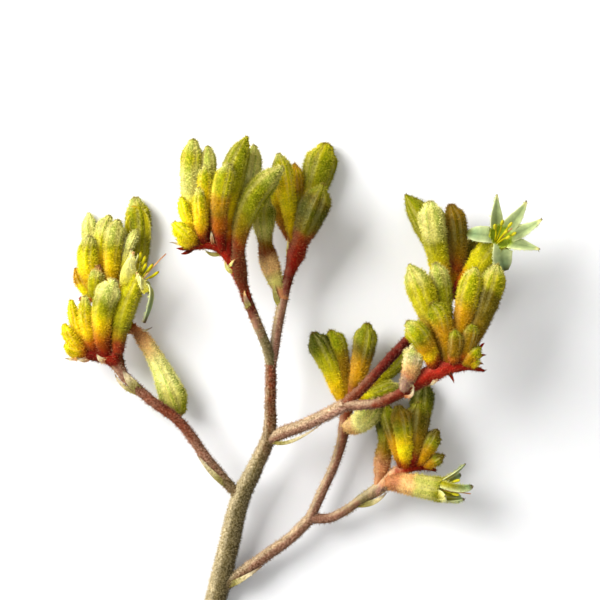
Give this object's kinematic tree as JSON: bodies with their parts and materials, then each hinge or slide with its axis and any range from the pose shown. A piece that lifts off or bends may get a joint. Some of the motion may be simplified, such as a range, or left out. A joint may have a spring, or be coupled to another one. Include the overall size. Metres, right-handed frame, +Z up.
{
  "type": "kangaroo paw flower",
  "caption": "Cut kangaroo paw flower head lying down: a branched stem that carries paws of ribbed, tubular buds and open flowers with pointed lobes.",
  "frame": {"origin": "centre of the bounding box in X and Y, on the surface that the flower lies on", "axes": "+Y along the flower head from the cut end of the stem to the flower tips, +X across it to the right, +Z up from the surface"},
  "size_m": [0.1912, 0.2072, 0.0509],
  "materials": {
    "stem": "matte, densely hairy, red-brown with pale hairs",
    "paw": "matte, woolly, yellow with crimson base and green tips",
    "paw_rear": "matte, woolly, yellow-green with crimson base",
    "petal": "soft satin, pale green",
    "pollen": "matte, pollen yellow"
  },
  "bodies": {
    "root": {"stem": "stem", "paw_left_front": "paw", "paw_left_rear": "paw_rear", "paw_middle_front": "paw", "paw_middle_rear": "paw_rear", "paw_right_rear": "paw_rear", "paw_right_front": "paw", "paw_low_rear": "paw_rear", "paw_low_front": "paw", "open_flower_left": "petal", "open_flower_right": "petal", "open_flower_low": "petal", "stamens_left": "pollen", "stamens_right": "pollen", "stamens_low": "pollen"}
  },
  "joints": []
}
